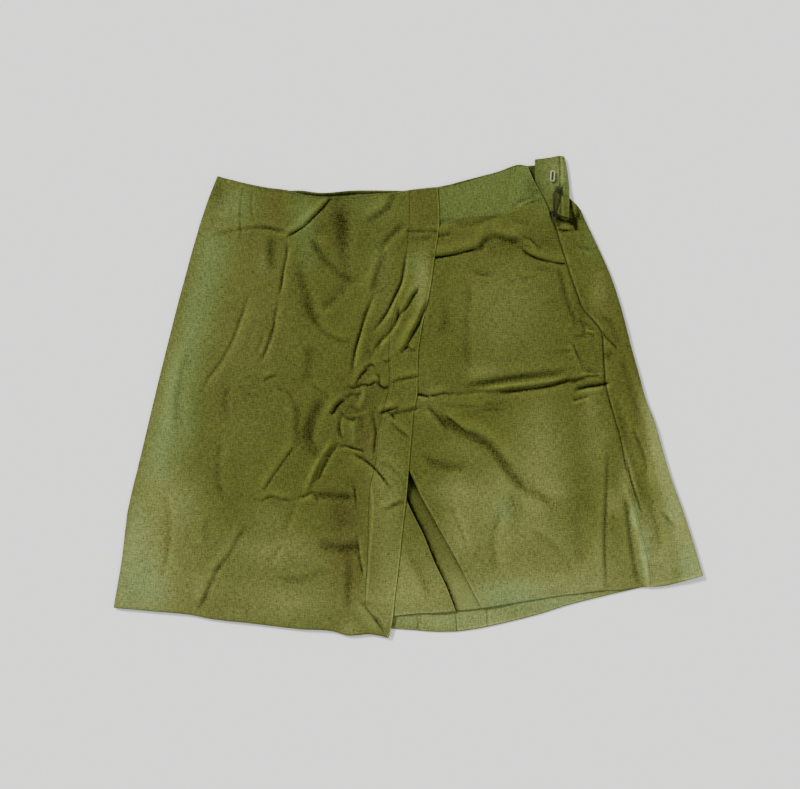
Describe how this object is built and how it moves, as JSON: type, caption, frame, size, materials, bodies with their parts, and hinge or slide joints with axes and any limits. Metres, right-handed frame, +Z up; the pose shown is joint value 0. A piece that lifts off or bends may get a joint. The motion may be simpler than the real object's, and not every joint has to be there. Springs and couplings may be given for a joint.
{
  "type": "skort",
  "caption": "Knee-length wrap-front skort in slub cotton, laid flat with its front up, side zip open at the waist.",
  "frame": {"origin": "centre of the garment's outline on the surface it lies on", "axes": "+X towards the wearer's left, which is to the right as it lies front up; +Y towards the waist; +Z up out of the surface"},
  "size_m": [0.5901, 0.4821, 0.0104],
  "materials": {
    "cotton": "matt slub weave, olive green",
    "cotton_inside": "matt weave, inside of the cloth",
    "cotton_band": "matt slub weave, pressed and stitched double",
    "zip_tape": "close woven tape",
    "bright_metal": "nickel-plated wire",
    "dark_metal": "burnished dark metal",
    "painted_metal": "enamelled to match the cloth"
  },
  "bodies": {
    "garment": {"back_right": "cotton", "back_left": "cotton", "back_left_inner_leg": "cotton_inside", "back_waist_facing": "cotton_inside", "front_right": "cotton", "front_left": "cotton", "wrap_panel": "cotton", "wrap_band": "cotton_band", "waist_tab": "cotton", "zip_tape": "zip_tape", "hook_bar": "bright_metal", "zip_stop": "dark_metal", "zip_slider": "dark_metal"},
    "pull": {"zip_pull": "painted_metal"}
  },
  "joints": [
    {"name": "zip_pull_hinge", "type": "hinge", "parent": "garment", "child": "pull", "pos_m": [0.1453, 0.1826, 0.008], "axis": [-1, 0, 0], "range_deg": [0, 175]}
  ]
}
